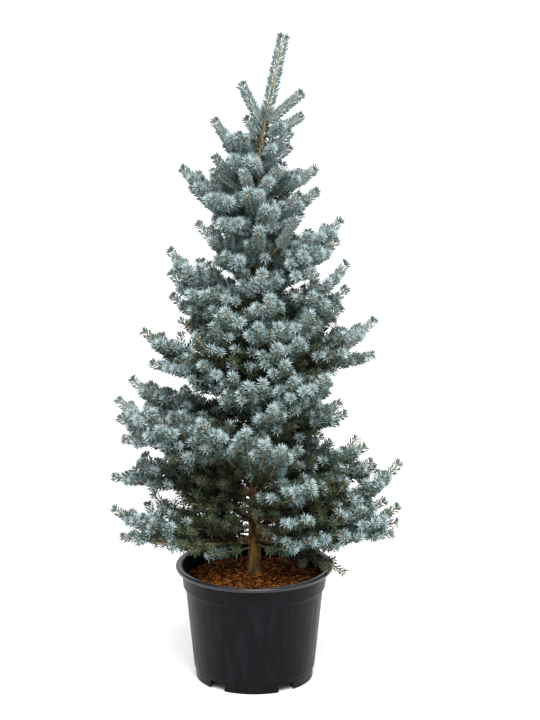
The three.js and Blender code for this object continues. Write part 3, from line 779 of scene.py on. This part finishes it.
def rooms_at(place, name):
    """How far a twig's needles may stand out at a place: to the next bough, and to bark, soil or pot."""
    share = np.clip(((place - pieces_from) * pieces_along).sum(-1) / pieces_length2, 0, 1)
    distances = np.linalg.norm(pieces_from + share[..., None] * pieces_along - place, axis=-1).min(axis=1)
    own = names.index(name)
    others = distances[[n for n in (range(in_frame) if own < in_frame else whorled) if n != own]]
    to_trunk = math.hypot(*(place - trunk_at(min(place[2], TREE_TOP)))[:2])
    bark = to_trunk - trunk_radius(place[2]) - CLEAR["bark"]
    radius = math.hypot(place[0], place[1])
    to_rim = math.hypot(radius - RIM / MM + CLEAR["rim_in"], place[2] - POT_HEIGHT / MM + CLEAR["rim_down"])
    soil = place[2] - GROUND - CLEAR["soil"] if radius < RIM / MM else math.inf
    next_one = others.min()
    mass = min((next_one - distances[own]) / 2 - CLEAR["mass"], next_one - CLEAR["stem"])
    return mass, min(bark, to_rim - CLEAR["rim"], soil)


def is_bare(places):
    """Whether places lie on the old wood at the foot of the trunk, that has lost its twigs and needles."""
    away = (places - trunk_at(places[..., 2]))[..., :2] - np.array((BARE["right"], -BARE["front"]))
    return np.linalg.norm(away, axis=-1) < np.interp(places[..., 2], *BARE["radius"])


def length_of(curve):
    """Length along a curve."""
    return np.linalg.norm(np.diff(on(curve, np.linspace(0, 1, 60)), axis=0), axis=-1).sum()


def laterals(name, curve, start, order, seed):
    """The curves, lengths and seeds of the twigs that grow from an axis by the growth rule. Each pair in a
    season has its own tilt, and a twig without room is tried again at the shorter cuts."""
    length = length_of(curve)
    found = []
    pairs = PAIRS[order]
    is_short = order == 0 and length < SHORT_BOUGH and "inner" not in name
    for step in itertools.count(CLEAN_STEPS + is_short):
        node = step / pairs
        share = 1 - node * SEASON[order] / length
        whole = step % pairs == 0
        if share < INNERMOST or is_bare(on(curve, share)):
            return found
        if whole and share < start + FIRST_NODE * (1 - start):
            whole = False
        for side in (-1, 1):
            draw = 10 * node + (5 if side > 0 else 0)
            fork = math.radians(FORK + FORK_SPREAD * (chance(seed, draw) - 0.5))
            tilt = math.radians(TILTS[step % pairs] + TILT_SPREAD * (chance(seed, draw + 1) - 0.5))
            vigour = 1 + UNEVEN * (chance(seed, draw + 2) - 0.5)
            grown = min(LONGEST, SHARE * node * SEASON[order] + EXTRA) * vigour * (1 if whole else WEAKER)
            left, over, along = axes_on(curve, share)
            way = along * math.cos(fork) + left * side * math.sin(fork) * math.cos(tilt)
            way = way + over * math.sin(fork) * math.sin(tilt)
            root = on(curve, share)
            for size in (cut * grown for cut in CUTS):
                twig = np.array((root, root + way * size / 2, root + way * size + UP * size * LIFT))
                if size < SHORTEST:
                    break
                rooms = [rooms_at(on(twig, at), name) for at in TESTED_AT]
                needed = LEAST_ROOM if whole and not order else TWIG_ROOM[order]
                if all(mass > needed and hard > LEAST_ROOM for mass, hard in rooms):
                    found.append((twig, size, seed * NEXT_SEED + draw))
                    break


shoots = []


def grow(name, curve, length, start, order, seed):
    """Notes an axis and everything that grows from it."""
    shoot = {"name": name, "curve": curve, "length": length, "start": start, "order": order, "seed": seed}
    shoots.append(shoot)
    if order < len(SEASON) and length >= BEARS_FROM[order]:
        for twig, size, next_seed in laterals(name, curve, start, order, seed):
            grow(name, twig, size, 0, order + 1, next_seed)


for number, (name, bough) in enumerate({**BOUGHS, **BETWEEN}.items(), 1):
    begins = bough[5] if len(bough) > 5 else 0
    grow(name, CURVES[name], length_of(CURVES[name]), begins, 0, number)


def crown_depth(place):
    """How far out a place is in the crown, from 0 at the trunk to 1 at the crown's outside."""
    axis = trunk_at(place[2])
    return math.hypot(place[0] - axis[0], place[1] - axis[1]) / np.interp(place[2], *CROWN_REACH)


twigs = [shoot for shoot in shoots if shoot["order"] > 0]
lengths = np.array([shoot["length"] for shoot in twigs])
spans = [np.linspace(0, 1 - BUD_BACK / length, TWIG["stations"]) for length in lengths]
lines = np.array([on(shoot["curve"], span) for shoot, span in zip(twigs, spans)]) * MM
swell = (TWIG["root"] - TWIG["tip"]) * np.minimum(1, lengths / TWIG["full_girth_from"])
radii = (TWIG["tip"] + swell[:, None] * np.linspace(1, 0, TWIG["stations"])) * MM
vertices, faces = tubes(lines, radii, 3)
faces = faces + np.arange(len(twigs))[:, None, None] * vertices.shape[1]
# Twigs inside the crown take a dark old bark, darker than their age alone gives, as painted shade.
twig_bark, _, _ = new_material("twig_bark", Base_Color=srgb(140, 118, 78), Roughness=0.75)
old_twig_bark_painted_shade, _, _ = new_material("old_twig_bark_painted_shade", Base_Color=srgb(62, 50, 28), Roughness=0.85)
twig_mesh = joined("twigs", vertices, faces)
is_old_and_shaded = [crown_depth(shoot["curve"][2]) < TWIG["old_and_shaded_within"] for shoot in twigs]
twig_mesh.polygons.foreach_set("material_index", np.repeat(np.array(is_old_and_shaded, int), faces.shape[1]))
put_in_scene("twigs", twig_mesh, "bark", twig_bark, old_twig_bark_painted_shade)
twig_mesh.shade_smooth()

# ---------------------------------------- needles
# Stiff waxy needles stand all round every twig on short pegs, swept forward and bent in a little, with a
# rosette of them round the bud at its tip. Each spray is one tone: silver blue with fresh wax at the outside
# of the crown, then blue grey, then dull teal and olive inside, where the wax has worn off. The inner tones
# and their rosettes are also made far darker than the needles are, as painted shade inside the crown.
NEEDLE = {"long": 18.5, "wide": 2.7, "deep": 2, "widest": 0.55, "forward": 50, "twist": 137.5, "peg": 0.6}
UNEVEN_NEEDLE = {"around": 0.35, "forward": 7, "long": (0.85, 1.1)}
NARROWEST = 0.6
FLATTENED, RAISED = 0.85, 0.12
DENSITY = (0.85, 0.9, 1.2, 1.6, 1.75, 1.9)
WIDENESS = (1.2, 1.1, 1, 0.86, 0.82, 0.8)
ROSETTE = {"count": (14, 14, 20, 26, 26, 26), "long": 18.5, "span": 3, "wide": 0.7, "open": 66, "shut": 16}
FINE_FROM, FINE = 960, 0.55
YOUNG_FROM = 900
BARE_NECK = 6
FIRST_NEEDLES, START_SHARE = 0.06, 0.9
TWIG_GIRTH = 1.7
PAINTED_SHADE_UNDER = -0.25
# Each tone pairs the needles' wax colour with a darker copy of it for their inner faces, which is painted
# shade.
TONES = {
    "olive": (srgb(31, 33, 3), srgb(16, 16, 1)),
    "teal": (srgb(46, 62, 25), srgb(28, 32, 4)),
    "steel": (srgb(96, 130, 127), srgb(38, 51, 24)),
    "blue": (srgb(150, 178, 182), srgb(58, 80, 65)),
    "silver": (srgb(190, 209, 213), srgb(94, 116, 112)),
    "frost": (srgb(213, 223, 225), srgb(122, 142, 144)),
    "dull_tuft_painted_shade": (srgb(68, 84, 52), srgb(36, 40, 12)),
    "tuft": (srgb(162, 182, 185), srgb(78, 92, 78)),
}
TONE_BORDERS, TONE_SPREAD = (0.28, 0.43, 0.56, 0.72, 0.9), 0.28
OUTER = 0.85
# Added to a spray's depth by height: lighter tones high in the crown and darker ones low down, as painted
# light and shade.
PAINTED_LIGHT_BY_HEIGHT = ((300, 430, 520, 680, 780, 870, 940, 1400), (-0.12, -0.09, -0.03, 0.08, -0.12, 0.12, 0.36, 0.7))
# Boughs whose names hold these words lie inside or under the crown, and take tones this many steps darker as
# painted shade.
PAINTED_SHADE_BY_NAME = {"inner": 1, "under": 1, "droop": 2}
tone_names = list(TONES)
beds = {tone: [] for tone in TONES}


def tone_of(place, seed, name):
    """The tone of a spray, by how near the outside of the crown or the tip of its bough it is."""
    root, _, tip = CURVES[name]
    depth = max(crown_depth(place), OUTER * np.linalg.norm(place - root) / np.linalg.norm(tip - root))
    depth += TONE_SPREAD * (chance(seed, 91) - 0.5) + float(np.interp(place[2], *PAINTED_LIGHT_BY_HEIGHT))
    return int(np.searchsorted(TONE_BORDERS, depth))


def needles_on(curve, length, low, high, radius, density, seed, tone, long, wide, bud_back=None,
               lean=NEEDLE["forward"]):
    """Plants the needles on a stretch of an axis, and a rosette of them round the bud if it ends in one."""
    draw = np.random.default_rng(int(seed * 1000) % (2 ** 31))
    if bud_back:
        high = max(low, high - (bud_back + BARE_NECK) / length)
    count = int((high - low) * length * density / wide)
    share = low + (high - low) * (np.arange(count) + draw.uniform(0, 1, count)) / max(1, count)
    jitter = UNEVEN_NEEDLE["around"]
    around = np.radians(NEEDLE["twist"]) * np.arange(count) + draw.uniform(-jitter, jitter, count)
    jitter = UNEVEN_NEEDLE["forward"]
    forward = np.radians(lean + draw.uniform(-jitter, jitter, count))
    size = long * draw.uniform(*UNEVEN_NEEDLE["long"], count)
    add_needles(curve, share, around, forward, size, wide, radius, tone)
    if bud_back:
        ring = np.arange(ROSETTE["count"][tone])
        near = 1 - (bud_back + ROSETTE["span"] * draw.uniform(0, 1, len(ring))) / length
        around = np.radians(NEEDLE["twist"]) * ring
        forward = np.radians(np.linspace(ROSETTE["open"], ROSETTE["shut"], len(ring)))
        size = ROSETTE["long"] * draw.uniform(*UNEVEN_NEEDLE["long"], len(ring))
        tuft = "tuft" if tone > 1 else "dull_tuft_painted_shade"
        add_needles(curve, near, around, forward, size, ROSETTE["wide"], radius, tuft)


def add_needles(curve, share, around, forward, size, wide, radius, tone):
    """Adds the roots, directions, lengths, widths and facings of needles to the beds of their tones. Those
    below the axis get the next darker tone as painted shade, and every second one is turned over."""
    left, over, along = axes_on(curve, share)
    upward = np.sin(around) * FLATTENED + RAISED
    outward = unit(left * np.cos(around)[:, None] + over * upward[:, None])
    way = unit(along * np.cos(forward)[:, None] + outward * np.sin(forward)[:, None])
    roots = on(curve, share) + outward * radius * NEEDLE["peg"]
    wides = NEEDLE["wide"] * wide * (NARROWEST + (1 - NARROWEST) * size / NEEDLE["long"])
    bare = is_bare(roots)
    if tone in beds:
        beds[tone].append((roots[~bare], way[~bare], size[~bare], wides[~bare], -outward[~bare]))
        return
    # Needles under the axis take the next darker tone, as painted shade.
    below = outward[:, 2] < PAINTED_SHADE_UNDER
    facing = outward * np.where(np.arange(len(roots)) % 2, 1, -1)[:, None]
    for level, rows in ((tone, ~below & ~bare), (max(0, tone - 1), below & ~bare)):
        beds[tone_names[level]].append((roots[rows], way[rows], size[rows], wides[rows], facing[rows]))


for shoot in shoots:
    curve, length, order, seed = (shoot[key] for key in ("curve", "length", "order", "seed"))
    begin = max(FIRST_NEEDLES, shoot["start"] * START_SHARE)
    parts = max(1, round(length * (1 - begin) / SEASON[0]))
    cuts = np.linspace(begin, 1, parts + 1)
    inner = sum(levels for part, levels in PAINTED_SHADE_BY_NAME.items() if part in shoot["name"])
    for part, (low, high) in enumerate(zip(cuts, cuts[1:])):
        tone = max(0, tone_of(on(curve, (low + high) / 2), seed + part, shoot["name"]) - inner)
        wide = WIDENESS[tone] * (FINE if curve[0][2] > FINE_FROM else 1)
        girth = limb_radius(length, low) if order == 0 else TWIG_GIRTH
        bud_back = BUD_BACK if part == parts - 1 else None
        needles_on(curve, length, low, high, girth, DENSITY[tone], seed + part, tone, NEEDLE["long"], wide,
                   bud_back)

# The young upper trunk and the leader bear needles of their own.
heights = np.linspace(YOUNG_FROM, LEADER_FROM, 8)
for low, high in zip(heights, heights[1:]):
    middle = (low + high) / 2
    curve = np.array([trunk_at(z) for z in (low, middle, high)])
    girth = trunk_radius(middle)
    needles_on(curve, high - low, 0, 1, girth, density=1.3, seed=low, tone=2, long=17, wide=FINE)
needles_on(CURVES["leader"], TREE_TOP - LEADER_FROM, 0, 1, radius=2.5, density=1.05, seed=5, tone=4,
           long=24, wide=0.38, bud_back=LEADER_BUD_BACK, lean=49)

PIECE_NEEDLES = 48000


def needle_piece(name, wax, painted_shade_side, roots, ways, sizes, wides, outwards):
    """Needles as one joined mesh: each a closed sliver of four faces, pointed at both ends, whose two inner
    faces take a darker copy of the wax tone as painted shade."""
    left = unit(np.cross(ways, outwards))
    over = np.cross(left, ways)
    middle = roots + ways * (sizes * NEEDLE["widest"])[:, None] + over * NEEDLE["deep"] / 2
    across = left * wides[:, None] / 2
    tips = roots + ways * sizes[:, None] - over * NEEDLE["deep"] / 2
    pegs = roots - over * NEEDLE["deep"] / 2
    vertices = np.stack((pegs, middle + across, middle - across, tips), axis=1) * MM
    one = np.array(((0, 1, 2), (3, 2, 1), (0, 3, 1), (0, 2, 3)))
    faces = one + np.arange(len(roots))[:, None, None] * 4
    mesh = joined(name, vertices, faces)
    mesh.polygons.foreach_set("material_index", np.tile((0, 0, 1, 1), len(roots)))
    return put_in_scene(name, mesh, "needles", wax, painted_shade_side)


for tone, sprays in beds.items():
    parts = [np.concatenate([spray[part] for spray in sprays]) for part in range(5)]
    wax, _, _ = new_material(f"needle_{tone}", Base_Color=TONES[tone][0], Roughness=0.55, Sheen_Weight=0.1)
    painted_shade_side, _, _ = new_material(f"needle_{tone}_keel", Base_Color=TONES[tone][1], Roughness=0.6)
    pieces = math.ceil(len(parts[0]) / PIECE_NEEDLES)
    for number, rows in enumerate(np.array_split(np.arange(len(parts[0])), pieces), 1):
        piece = needle_piece(f"needles_{tone}_{number}", wax, painted_shade_side, *[part[rows] for part in parts])
        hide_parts(*[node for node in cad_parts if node.startswith("foliage_")])

# ---------------------------------------- buds
# A blunt brown bud, resting under its scales, closes the tip of every shoot.
BUD = {"long": 5, "wide": 1.6, "sunk": 0.4, "shares": (0, 0.5, 1), "girth": (0.6, 1, 0.15)}
bearers = [(shoot["curve"], 1 - BUD_BACK / shoot["length"]) for shoot in shoots]
bearers.append((CURVES["leader"], 1 - LEADER_BUD_BACK / (TREE_TOP - LEADER_FROM)))
tips = np.array([on(curve, end) for curve, end in bearers])
heads = np.array([axes_on(curve, end)[2] for curve, end in bearers])
shares = np.array(BUD["shares"])[:, None]
lines = (tips[:, None] + heads[:, None] * (shares - BUD["sunk"]) * BUD["long"]) * MM
radii = np.tile(np.array(BUD["girth"]) * BUD["wide"] * MM, (len(tips), 1))
vertices, faces = tubes(lines, radii, 4)
faces = faces + np.arange(len(tips))[:, None, None] * vertices.shape[1]
bud_scale, _, _ = new_material("bud_scale", Base_Color=srgb(146, 108, 70), Roughness=0.6)
put_in_scene("buds", joined("buds", vertices, faces), "bark", bud_scale).data.shade_smooth()
